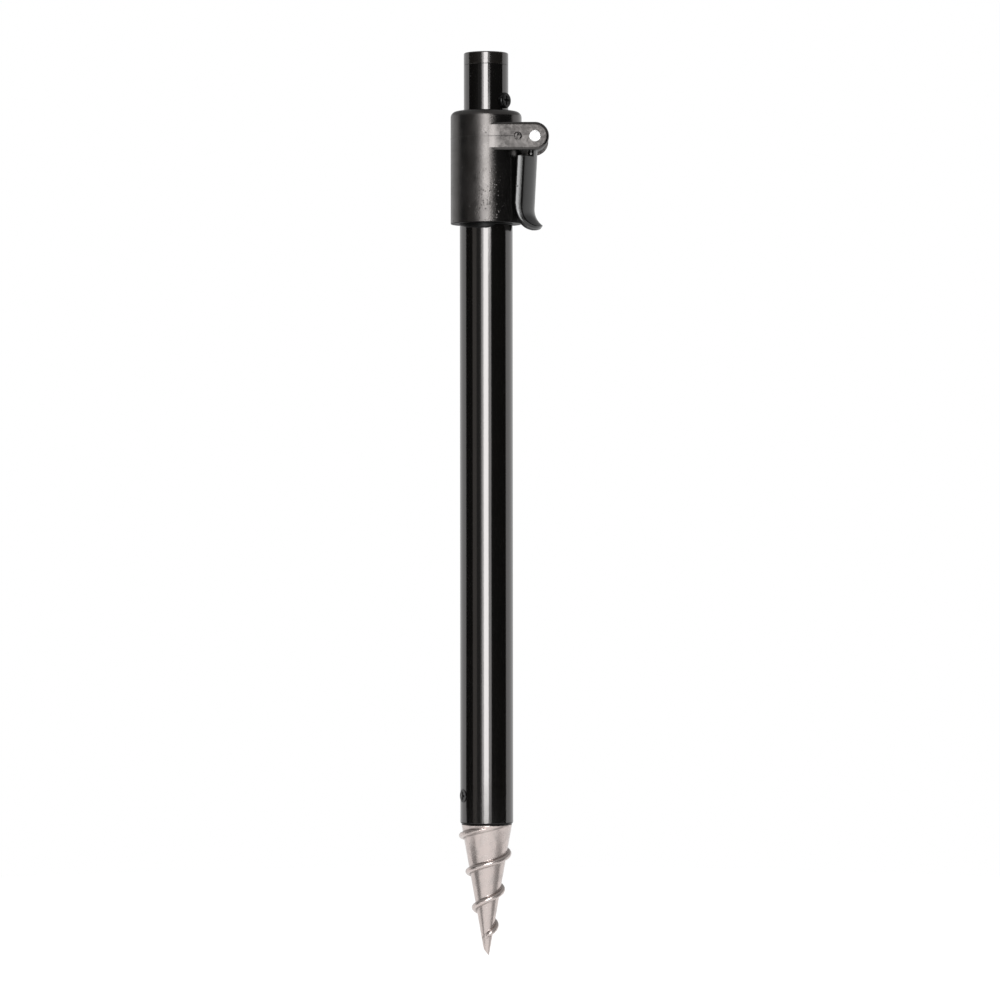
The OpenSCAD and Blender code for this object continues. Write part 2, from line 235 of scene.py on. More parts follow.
class Tree:
    """A node tree, with short calls for its nodes."""

    def __init__(self, tree: NodeTree) -> None:
        """Starts with an emptied tree."""
        self.tree = tree
        self.nodes, self.links = tree.nodes, tree.links
        self.nodes.clear()

    def fill(self, socket: NodeSocket, value: object) -> None:
        """Links a socket into another, or sets its value."""
        if isinstance(value, NodeSocket):
            self.links.new(value, socket)
        elif value is not None:
            socket.default_value = value

    def feed(self, node: Node, **sockets: object) -> Node:
        """Fills a node's inputs, named with underscores for spaces."""
        for key, value in sockets.items():
            self.fill(node.inputs[key.replace("_", " ")], value)
        return node

    def add(self, kind: str, settings: Optional[dict[str, str]] = None, **sockets: object) -> Node:
        """Adds a node.

        Args:
            kind: The node's type.
            settings: Its properties.
            **sockets: Values or sockets for its inputs, as in feed.

        Returns:
            The node.
        """
        made = self.nodes.new(kind)
        for key, value in (settings or {}).items():
            setattr(made, key, value)
        return self.feed(made, **sockets)

    def math(self, operation: str, *values: object) -> NodeSocket:
        """The result of a maths node on one value or socket, or on each of several with the result so far."""
        result = values[0]
        for value in values[1:] or (None,):
            made = self.add("ShaderNodeMath", {"operation": operation})
            self.fill(made.inputs[0], result)
            self.fill(made.inputs[1], value)
            result = made.outputs[0]
        return result

    def total(self, *values: object) -> NodeSocket:
        """The sum of several values or sockets."""
        return self.math("ADD", *values)

    def product(self, *values: object) -> NodeSocket:
        """The product of several values or sockets."""
        return self.math("MULTIPLY", *values)

    def ramp(self, value: object, low: float, high: float, out: tuple[object, object] = (0, 1)) -> NodeSocket:
        """A value mapped from one range to another, clamped."""
        return self.add("ShaderNodeMapRange", Value=value, From_Min=low, From_Max=high, To_Min=out[0],
                        To_Max=out[1]).outputs[0]

    def split(self, vector: NodeSocket) -> Sequence[NodeSocket]:
        """The three parts of a vector."""
        return self.add("ShaderNodeSeparateXYZ", Vector=vector).outputs


class Sheet(Tree):
    """A material's node tree."""

    def __init__(self, name: str) -> None:
        """Starts a material that holds only its output and a Principled shader."""
        self.material = bpy.data.materials.new(name)
        self.material.use_nodes = True
        super().__init__(self.material.node_tree)
        self.output = self.add("ShaderNodeOutputMaterial")
        self.shader = self.add("ShaderNodeBsdfPrincipled")
        self.show(self.shader)
        coordinates = self.add("ShaderNodeTexCoord").outputs
        self.place = coordinates["Object"]
        # How far the surface faces along each axis, then where it is, in millimetres
        self.facing = self.split(coordinates["Normal"])
        x, _, z = self.split(self.place)
        self.across, self.height = self.math("DIVIDE", x, MM), self.math("DIVIDE", z, MM)

    def show(self, shader: Node) -> None:
        """Makes a shader the material's surface."""
        self.feed(self.output, Surface=shader.outputs[0])

    def paint(self, **sockets: object) -> Material:
        """Fills the Principled shader's inputs, and gives the material."""
        self.feed(self.shader, **sockets)
        return self.material

    def gloss(self, ior: float, under: Optional[Pair]) -> object:
        """An index of refraction, with another underneath.

        Args:
            ior: The index.
            under: The index of the undersides, and the height below which lower edges have it.

        Returns:
            The index or a socket of it.
        """
        if under is None:
            return ior
        down = self.facing[2]
        edge = self.product(self.ramp(down, -0.02, -0.12), self.math("LESS_THAN", self.height, under[1]))
        return self.ramp(self.math("MAXIMUM", edge, self.ramp(down, -0.8, -0.97)), 0, 1, (ior, under[0]))

    def scaled(self, x: float, y: float, z: float) -> NodeSocket:
        """The object's own coordinates, with this many pattern steps to the millimetre along each axis."""
        return self.add("ShaderNodeMapping", Vector=self.place, Scale=(x / MM, y / MM, z / MM)).outputs[0]

    def noise(self, per_mm: float, detail: float = 2, stretch: float = 1, warp: float = 0) -> NodeSocket:
        """Soft noise.

        Args:
            per_mm: Its steps to the millimetre.
            detail: Its octaves.
            stretch: How many times longer it is along Z.
            warp: Its distortion.

        Returns:
            Its value, from 0 to 1.
        """
        return self.add("ShaderNodeTexNoise", Vector=self.scaled(per_mm, per_mm, per_mm / stretch), Scale=1.0,
                        Detail=detail, Distortion=warp).outputs["Fac"]

    def mix(self, share: object, a: object, b: object) -> NodeSocket:
        """Two colours mixed by a share."""
        made = self.add("ShaderNodeMix", {"data_type": "RGBA"})
        for index, value in ((0, share), (6, a), (7, b)):
            self.fill(made.inputs[index], value)
        return made.outputs[2]

    def specks(self, per_mm: float, size: float, rarity: float) -> NodeSocket:
        """Scattered dots.

        Args:
            per_mm: Cells to the millimetre.
            size: The radius of a dot, as a share of its cell.
            rarity: The share of cells that stay empty.

        Returns:
            1 in a dot and 0 outside.
        """
        cell = self.add("ShaderNodeTexVoronoi", Vector=self.scaled(per_mm, per_mm, per_mm), Scale=1.0).outputs
        chance = self.add("ShaderNodeSeparateColor", Color=cell["Color"]).outputs[0]
        dot = self.ramp(cell["Distance"], size, size * 0.5)
        return self.product(dot, self.math("GREATER_THAN", chance, rarity))

    def relief(self, *layers: tuple[NodeSocket, float]) -> NodeSocket:
        """Bumps laid over each other, each given as its height and its depth in millimetres."""
        normal = None
        for height, depth in layers:
            normal = self.add("ShaderNodeBump", Height=height, Strength=1.0, Distance=depth * MM,
                              Normal=normal).outputs[0]
        return normal


# Finishes


def grey(value: float, warmth: float = 0) -> Colour:
    """A grey, or a slightly warm one."""
    return (value * (1 + warmth), value, value * (1 - warmth), 1)


@dataclass(frozen=True)
class GlossTube:
    """Gloss black anodised tube: drawn lines along it, a faint ripple, and a few nicks."""

    name: str
    base: float = 0.003
    ior: float = 1.8
    rough: float = 0.1
    ripple: float = 0.0035
    lines: float = 0.0012
    blotch: float = 0
    warmth: float = 0.08
    tint: Colour = (1, 0.965, 0.955, 1)
    under: Optional[Pair] = None
    peeled: tuple[Pair, ...] = ()
    peel_fade: float = 4
    peel_depth: float = 0.012
    nick_depth: float = 0.02

    def make(self) -> Material:
        """Makes the material."""
        s = Sheet(self.name)
        drawn = s.noise(2.4, 3, stretch=220)
        patch = s.noise(0.06, 4, warp=1.5)
        nick = s.specks(0.22, 0.05, 0.8)
        ripple = s.product(s.noise(1.1, 3, stretch=0.6), s.ramp(patch, 0.35, 0.65, (0.35, 1.3)))
        layers = [(drawn, self.lines), (ripple, self.ripple)]
        for low, high in self.peeled:
            start = s.ramp(s.height, low, low + self.peel_fade)
            end = s.ramp(s.height, high, high - self.peel_fade)
            layers.append((s.product(s.noise(1.7, stretch=0.8), start, end), self.peel_depth))
        if self.blotch:
            layers.append((s.noise(0.55, 3), self.blotch))
        rough = s.ramp(drawn, 0.3, 0.75, (self.rough * 0.8, self.rough * 1.25))
        return s.paint(
            Base_Color=s.mix(patch, grey(self.base, self.warmth / 2), grey(self.base * 1.6, self.warmth)),
            Roughness=s.total(rough, s.product(nick, 0.2)), IOR=s.gloss(self.ior, self.under),
            Specular_Tint=self.tint, Normal=s.relief(*layers, (nick, self.nick_depth)))


@dataclass(frozen=True)
class MouldedPlastic:
    """Black moulded plastic: a fine grain, softer flow marks, rubbed patches and small pits.

    It can have a duller plate on its flat sides, from plate_from along X, and grit between two heights.
    """

    name: str
    base: float = 0.006
    rough: float = 0.3
    grain: float = 0.006
    waves: float = 0.012
    pit_depth: float = 0.03
    ior: float = 1.5
    warmth: float = 0.025
    tint: Colour = WHITE
    sleek: Pair = (1, 1)
    under: Optional[Pair] = None
    plate_from: Optional[float] = None
    plate_fade: float = 2.5
    plate_ior: float = 1.62
    plate_rough: Pair = (0.14, 0.33)
    plate_depth: float = 0.04
    gritty: Optional[Pair] = None
    grit_rough: float = 0.13
    grit_depths: Pair = (0.036, 0.06)

    def make(self) -> Material:
        """Makes the material."""
        s = Sheet(self.name)
        grain = s.noise(3.2, 3)
        flow = s.noise(0.16, 3, stretch=2.4, warp=0.8)
        worn = s.noise(0.09, 4, warp=2)
        pit = s.specks(0.35, 0.13, 0.9)
        rough = s.ramp(worn, 0.32, 0.7, (self.rough * 0.86, self.rough * 1.14))
        rough = s.total(s.product(rough, s.ramp(s.across, -3, 4, self.sleek)),
                        s.ramp(grain, 0.3, 0.7, (-0.03, 0.03)), s.product(pit, 0.3))
        ior = s.gloss(self.ior, self.under)
        layers = [(flow, self.waves), (s.product(grain, s.ramp(worn, 0.35, 0.62, (0.5, 1.5))), self.grain)]
        if self.plate_from is not None:
            mottle = s.noise(0.75, 4, warp=0.7)
            plate = s.product(s.ramp(s.across, self.plate_from, self.plate_from + self.plate_fade),
                              s.ramp(s.math("ABSOLUTE", s.facing[1]), 0.95, 0.99))
            rough = s.total(rough, s.product(plate, s.ramp(mottle, 0.3, 0.7, self.plate_rough)))
            ior = s.ramp(plate, 0, 1, (ior, self.plate_ior))
            layers.append((s.product(plate, mottle), self.plate_depth))
        if self.gritty is not None:
            low, high = self.gritty
            band = s.product(s.ramp(s.height, high, low), s.ramp(s.noise(0.22, 3), 0.38, 0.54))
            streak = s.product(s.ramp(s.across, -5, -2), s.ramp(s.across, 7, 4, (0.35, 1)))
            grit = s.product(s.specks(1.5, 0.42, 0.6), band, streak)
            rough = s.total(rough, s.product(grit, self.grit_rough))
            layers += zip((s.product(s.noise(2.1), band), grit), self.grit_depths)
        tone = s.mix(flow, grey(self.base * 0.8, self.warmth), grey(self.base * 1.3, self.warmth * 1.4))
        return s.paint(Base_Color=tone, Roughness=rough, IOR=ior, Specular_Tint=self.tint,
                       Normal=s.relief(*layers, (s.product(pit, -1), self.pit_depth)))


@dataclass(frozen=True)
class CastMetal:
    """Satin as-cast metal: a lumpy skin, fine grain, small pits, and a darker colour at the foot of its bead
    and in the pits.
    """

    name: str
    light: Colour = (0.545, 0.475, 0.45, 1)
    dull: Colour = (0.48, 0.43, 0.41, 1)
    crease: Colour = (0.17, 0.15, 0.14, 1)
    rough: float = 0.25
    depths: tuple[float, float, float] = (0.05, 0.008, 0.03)

    def make(self) -> Material:
        """Makes the material, which reads the mesh's crease attribute."""
        s = Sheet(self.name)
        lumps = s.noise(0.35, 3, warp=0.6)
        grain = s.noise(2.6, 4)
        pit = s.specks(0.5, 0.16, 0.82)
        crease = s.add("ShaderNodeAttribute", {"attribute_name": "crease"}).outputs["Fac"]
        # Darker colour at the foot of the bead, from the crease attribute, and in the pits below
        dark = s.product(crease, s.ramp(grain, 0.3, 0.6, (0.3, 0.8)))
        tone = s.mix(s.ramp(lumps, 0.35, 0.7), self.light, self.dull)
        tone = s.mix(s.product(pit, 0.5), tone, self.crease)
        rough = s.ramp(lumps, 0.3, 0.7, (self.rough * 0.85, self.rough * 1.25))
        return s.paint(
            Base_Color=s.mix(dark, tone, self.crease), Metallic=1.0,
            Roughness=s.total(rough, s.product(dark, 0.25)),
            Normal=s.relief(*zip((lumps, grain, s.product(pit, -1)), self.depths)))


@dataclass(frozen=True)
class TurnedMetal:
    """Bare or blackened turned metal: fine rings about its own axis, and a mottled skin."""

    name: str
    colour: Colour
    worn: Colour
    rough: float = 0.3
    metallic: float = 1.0
    rings: float = 0.004
    skin: float = 0.006

    def make(self) -> Material:
        """Makes the material."""
        s = Sheet(self.name)
        turned = s.noise(0.2, stretch=1 / 45)
        mottle = s.noise(1.3, 4, warp=0.5)
        return s.paint(
            Base_Color=s.mix(s.ramp(mottle, 0.45, 0.72), self.colour, self.worn), Metallic=self.metallic,
            Roughness=s.ramp(mottle, 0.3, 0.7, (self.rough * 0.8, self.rough * 1.25)),
            Normal=s.relief((turned, self.rings), (mottle, self.skin)))


class Finishes:
    """Every finish of the stick, made once."""

    def __init__(self) -> None:
        """Makes the materials."""
        self.outer_tube = GlossTube(
            "gloss_black_tube", under=(1.15, 50), peeled=((243, 263), (44, 66))).make()
        self.inner_tube = GlossTube("gloss_black_inner_tube", ripple=0.002, lines=0.0016).make()
        self.rim = GlossTube("gloss_black_rim", base=0.007, rough=0.14, blotch=0.03, warmth=0.14).make()
        self.collar = MouldedPlastic(
            "satin_black_collar", base=0.0035, rough=0.27, grain=0.02, ior=1.7, tint=(1, 0.94, 0.91, 1),
            sleek=(1.25, 0.78), under=(1.2, 266), plate_from=2.5, gritty=(272, 287)).make()
        self.bond = MouldedPlastic(
            "matt_black_bond", base=0.002, rough=0.45, grain=0.02, waves=0.05, ior=1.25).make()
        self.lever = MouldedPlastic(
            "semi_gloss_black_lever", base=0.004, rough=0.2, grain=0.003, waves=0.01, ior=1.55).make()
        self.nylon = MouldedPlastic("natural_nylon", base=0.62, rough=0.42).make()
        self.cast = CastMetal("satin_cast_metal").make()
        self.screw = TurnedMetal("blackened_screw_steel", grey(0.012), grey(0.05), 0.17, 0.85).make()
        self.pin = TurnedMetal("blackened_pin_steel", grey(0.02), grey(0.045), 0.3, 0.3).make()
        self.brass = TurnedMetal("turned_brass", (0.78, 0.55, 0.24, 1), (0.62, 0.42, 0.2, 1), 0.24).make()
        # The pad's brass is painted very dark, as painted shade where it sits in shadow under the closed
        # lever
        self.pad = TurnedMetal("dull_brass", (0.16, 0.12, 0.07, 1), (0.1, 0.075, 0.045, 1), 0.5).make()


# Geometry Nodes


class Socket(Enum):
    """The kinds of input that a node group takes."""

    LENGTH = "NodeSocketFloat"
    COUNT = "NodeSocketInt"
    FINISH = "NodeSocketMaterial"


class Group(Tree):
    """A Geometry Nodes group with named inputs."""

    def __init__(self, name: str, inputs: dict[str, Socket]) -> None:
        """Makes the group, with a geometry, its own inputs, a number of sides and a finish.

        Args:
            name: The group's name.
            inputs: The name and kind of each input of its own.
        """
        super().__init__(bpy.data.node_groups.new(name, "GeometryNodeTree"))
        self.name = name
        interface = self.tree.interface
        for way in ("INPUT", "OUTPUT"):
            interface.new_socket("Geometry", in_out=way, socket_type="NodeSocketGeometry")
        for key, kind in (inputs | {"Sides": Socket.COUNT, "Finish": Socket.FINISH}).items():
            interface.new_socket(key, in_out="INPUT", socket_type=kind.value)
        self.source = self.add("NodeGroupInput")
        self.sink = self.add("NodeGroupOutput")

    def fill(self, socket: NodeSocket, value: object) -> None:
        """Links a socket or a named group input into a socket, or sets its value."""
        super().fill(socket, self.source.outputs[value] if isinstance(value, str) else value)

    def sweep(self, curve: NodeSocket, radius: object) -> NodeSocket:
        """The capped skin that a section of this radius leaves along a curve."""
        section = self.add("GeometryNodeCurvePrimitiveCircle", Resolution="Sides", Radius=1.0).outputs[0]
        return self.add("GeometryNodeCurveToMesh", Curve=curve, Profile_Curve=section, Scale=radius,
                        Fill_Caps=True).outputs[0]

    def end(self, geometry: NodeSocket) -> None:
        """Realizes the instances, sets the finish and closes the group."""
        solid = self.add("GeometryNodeRealizeInstances", Geometry=geometry).outputs[0]
        dressed = self.add("GeometryNodeSetMaterial", Geometry=solid, Material="Finish").outputs[0]
        self.feed(self.sink, Geometry=dressed)

    def run(self, name: str, values: dict[str, object], start: Optional[Mesh] = None) -> Mesh:
        """Runs the group once.

        Args:
            name: The name of the result.
            values: A value for each named input.
            start: A mesh that the group works on.

        Returns:
            The plain mesh that it makes.
        """
        host = new_object(name, start or bpy.data.meshes.new(name))
        modifier = host.modifiers.new(self.name, "NODES")
        modifier.node_group = self.tree
        for item in self.tree.interface.items_tree:
            if item.name in values:
                modifier[item.identifier] = values[item.name]
        mesh = baked(host).data
        bpy.data.objects.remove(host)
        return mesh


def helix_group() -> Group:
    """A raised helix on a cone or a cylinder, such as a bead or a thread, tapered at both ends.

    Returns:
        The group. Its section is round, or a diamond with 4 sides.
    """
    lengths = ("Start radius", "End radius", "Height", "Turns", "Section radius", "Start taper", "End taper",
               "Start turn", "Base")
    g = Group("raised_helix", dict.fromkeys(lengths, Socket.LENGTH) | {"Steps": Socket.COUNT})
    spiral = g.add("GeometryNodeCurveSpiral", Start_Radius="Start radius", End_Radius="End radius",
                   Height="Height", Rotations="Turns", Resolution="Steps", Reverse=True).outputs[0]
    upright = g.add("GeometryNodeSetCurveNormal", {"mode": "Z_UP"}, Curve=spiral).outputs[0]
    along = g.add("GeometryNodeSplineParameter").outputs["Factor"]
    near = g.math("DIVIDE", along, "Start taper")
    far = g.math("DIVIDE", g.math("SUBTRACT", 1.0, along), "End taper")
    swell = g.math("SINE", g.product(g.math("MINIMUM", near, far, 1.0), math.pi / 2))
    tip = 0.1
    swept = g.sweep(upright, g.product("Section radius", g.total(tip, g.product(1 - tip, swell))))
    place, turn = [g.add("ShaderNodeCombineXYZ", Z=z).outputs[0] for z in ("Base", "Start turn")]
    g.end(g.add("GeometryNodeTransform", Geometry=swept, Translation=place, Rotation=turn).outputs[0])
    return g


def seam_group() -> Group:
    """A thin raised line along a chain of points, such as the witness line of a mould.

    Returns:
        The group. It works on a mesh of edges only.
    """
    g = Group("raised_line", {"Width": Socket.LENGTH})
    g.end(g.sweep(g.add("GeometryNodeMeshToCurve", Mesh="Geometry").outputs[0], "Width"))
    return g


@dataclass(frozen=True)
class Helix:
    """One raised helix, in millimetres and degrees."""

    radii: Pair
    height: float
    pitch: float
    section: float
    base: float
    turn: float = 0
    sides: int = 4
    steps: int = 48
    tapers: Pair = (0.03, 0.03)

    def mesh(self, group: Group, name: str, finish: Material) -> Mesh:
        """Makes the helix's mesh with the helix group."""
        return group.run(name, {
            "Start radius": self.radii[0] * MM, "End radius": self.radii[1] * MM, "Height": self.height * MM,
            "Turns": self.height / self.pitch, "Steps": self.steps, "Section radius": self.section * MM,
            "Sides": self.sides, "Start taper": self.tapers[0], "End taper": self.tapers[1],
            "Start turn": math.radians(self.turn), "Base": self.base * MM, "Finish": finish})


# Sub-assemblies


def dress(piece: Object, sharp: float, body: str, slot: str, finish: Material, *nodes: str) -> None:
    """Dresses a new piece and ties it to the frame.

    Args:
        piece: The object, with its final mesh.
        sharp: The least angle of an edge that stays sharp, in degrees.
        body: The body that it rides on.
        slot: The record's material slot; it is not used.
        finish: Its material.
        *nodes: The CAD nodes that it stands for.
    """
    piece.data.polygons.foreach_set("use_smooth", [True] * len(piece.data.polygons))
    piece.data.set_sharp_from_angle(angle=math.radians(sharp))
    piece.data.materials.clear()
    piece.data.materials.append(finish)
    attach(piece, body)
    if nodes:
        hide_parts(*nodes)
    LOG.info("%s rides on %s: %d faces", piece.name, body, len(piece.data.polygons))


def dress_node(node: str, finish: Material) -> None:
    """Gives a CAD node its finish."""
    piece = frame["nodes"][node]
    if not piece.material_slots:
        piece.data.materials.append(finish)
    for place in piece.material_slots:
        place.material = finish
    LOG.info("%s keeps its CAD shape, in %s", node, finish.name)


@dataclass
class GroundPoint:
    """The cast cone with its raised screw bead, and the spigot that plugs the outer tube."""

    length: float = 47.4
    root_r: float = 9.1
    tip_r: float = 0.74
    tip_cut: float = 52
    neck: float = 1
    spigot_r: float = 8.27
    spigot_len: float = 20
    spigot_bevel: float = 0.6
    spigot_lap: float = 0.2
    bead_r: float = 1.0
    bead_out: float = 0.65
    bead_pitch: float = 13
    bead_span: Pair = (7.1, 46.5)
    bead_turn: float = -100
    bead_tapers: Pair = (0.025, 0.09)
    crease_w: float = 0.32
    crease_h: float = 0.4
    firm_ends: Pair = (1.2, 0.5)
    voxel: float = 0.176

    def cone(self, z: np.ndarray) -> np.ndarray:
        """Radius of the cone at a height."""
        return self.tip_r + (self.root_r - self.tip_r) * z / self.length

    def solid(self) -> Mesh:
        """The cone down to its sloping cut, with a short neck inside the tube."""
        root, top = self.length, self.length + self.neck
        mesh = lathe("cone", [(AXIS, 0), (self.tip_r, 0), (self.root_r, root), (self.spigot_r, root),
                              (self.spigot_r, top), (AXIS, top)], 160)
        slope = math.radians(self.tip_cut)
        work = bmesh.new()
        work.from_mesh(mesh)
        bmesh.ops.bisect_plane(work, geom=work.verts[:] + work.edges[:] + work.faces[:],
                               plane_co=(self.tip_r * MM, 0, 0),
                               plane_no=(-math.sin(slope), 0, -math.cos(slope)), clear_outer=True)
        bmesh.ops.holes_fill(work, edges=[e for e in work.edges if e.is_boundary])
        work.to_mesh(mesh)
        work.free()
        turn_outwards(mesh)
        return mesh

    def bead(self, group: Group, finish: Material) -> Mesh:
        """The bead, as one tapered sweep."""
        low, high = self.bead_span
        ends = self.cone(np.array(self.bead_span)) + self.bead_out
        helix = Helix((ends[0], ends[1]), high - low, self.bead_pitch, self.bead_r, low, self.bead_turn,
                      sides=20, steps=64, tapers=self.bead_tapers)
        return helix.mesh(group, "bead", finish)

    def crease(self, points: np.ndarray) -> np.ndarray:
        """How near each point is to the foot of the bead, from 0 to 1."""
        x, y, z = points.T
        low, high = self.bead_span
        here = (z - low) / self.bead_pitch - (np.degrees(np.arctan2(y, x)) - self.bead_turn) / 360
        side = np.abs(here - np.round(here)) * self.bead_pitch - 1.05 * self.bead_r
        rise = np.hypot(x, y) - self.cone(z)
        foot = np.exp(-((side / self.crease_w) ** 2)) * np.exp(-((rise / self.crease_h) ** 2))
        return np.where((z > low - 1) & (z < high + 1), foot, 0)

    def build(self, group: Group, finishes: Finishes) -> None:
        """Builds and dresses the point."""
        piece = fused(new_object("ground_point", self.solid(), self.bead(group, finishes.cast)), self.voxel)
        points = vertex_points(piece.data)
        weight = 0.25 + 0.75 * np.clip(self.crease(points) * 1.6, 0, 1)
        # The sloping cut and the rim under the tube keep their edges
        tip, root = self.firm_ends
        weight[(points[:, 2] < tip) | (points[:, 2] > self.length - root)] = 0
        soften(piece.data, weight=weight)
        foot = self.crease(vertex_points(piece.data))
        low, high = self.length + self.neck - self.spigot_lap, self.length + self.spigot_len
        r, b = self.spigot_r, self.spigot_bevel
        spigot = lathe("spigot", [(AXIS, low), (r, low), (r, high - b), (r - b, high), (AXIS, high)], 96)
        piece.data = joined("ground_point", piece.data, spigot)
        values = np.zeros(len(piece.data.vertices), np.float32)
        values[:len(foot)] = foot
        piece.data.attributes.new("crease", "FLOAT", "POINT").data.foreach_set("value", values)
        dress(piece, 50, "stick_base", "cast_metal", finishes.cast, "spike")


class HeadStyle(Enum):
    """The two kinds of screw head on the stick."""

    PAN = "pan"
    COUNTERSUNK = "countersunk"


@dataclass
class CrossHeadScrew:
    """A cross-head screw, drawn along its own +Z with zero under a pan head, or on top of a sunk one."""

    name: str
    style: HeadStyle
    head_r: float
    head_h: float
    length: float
    turn: float
    out: float
    height: float
    body: str
    node: str
    shank_r: float = 1.5
    core: float = 0.82
    bevel: float = 0.12
    recess: float = 3.3
    depth: float = 1.1
    wings: tuple[Pair, ...] = ((0.56, 0.42), (0.44, 0.36), (0.2, 0.22))
    rim_edge: Pair = (0.08, 0.2)
    dome: float = 0.02
    tip: Pair = (0.3, 0.7)
    point: float = 0.9
    thread_r: float = 0.28
    pitch: float = 0.8

    def profile(self) -> Loop:
        """The outline of its head and shank, from the top down."""
        rim, top, core = self.head_r, self.head_h, self.shank_r * self.core
        tip_r, tip_len = self.tip
        tip = [(core, -self.length + tip_len), (tip_r, -self.length), (AXIS, -self.length)]
        if self.style is HeadStyle.COUNTERSUNK:
            bevel, land = self.rim_edge
            sunk = [(AXIS, 0), (rim - self.bevel, 0), (rim, -bevel), (rim, -land)]
            return sunk + [(core, -rim + self.shank_r - 0.1)] + tip
        edge, dome = 0.45 * top, self.dome
        crown = [(AXIS, top), (rim * 0.45, top - dome), *arc((rim - edge, top - edge - dome), edge, 88, 0, 9)]
        return crown + [(rim, self.bevel), (rim - self.bevel, 0), (core, 0)] + tip

    def recess_tool(self) -> Mesh:
        """The cross that is cut into the head: two wings that taper to the bottom.

        Each of the wings' pairs is half their length, as a share of the recess, and half their width: above
        the head, halfway down and at the bottom.
        """
        rings = []
        for z, (half, wide) in zip((0.5, -self.depth * 0.5, -self.depth), self.wings):
            a, level = self.recess * half, self.head_h + z
            rings.append([(-a, -wide, level), (a, -wide, level), (a, wide, level), (-a, wide, level)])
        tool = new_object("cross", loft("wing", rings))
        mesh = cut(tool, loft("wing", [[(-y, x, z) for x, y, z in ring] for ring in rings]), union=True).data
        bpy.data.objects.remove(tool)
        return mesh

    def build(self, group: Group, finishes: Finishes) -> None:
        """Builds and dresses the screw."""
        piece = cut(new_object(self.name, lathe(self.name, self.profile(), 64)), self.recess_tool())
        sunk = 0 if self.style is HeadStyle.PAN else self.head_r - self.shank_r
        run = self.length - self.point - (sunk + 0.2)
        thread = Helix((self.shank_r * 0.8, self.shank_r * 0.8), run, self.pitch, self.thread_r,
                       self.point - self.length, steps=24, tapers=(0.15, 0.1))
        piece.data = joined(self.name, piece.data, thread.mesh(group, "thread", finishes.screw))
        piece.data.transform(facing(self.turn, self.out, self.height))
        dress(piece, 30, self.body, "black_steel", finishes.screw, self.node)


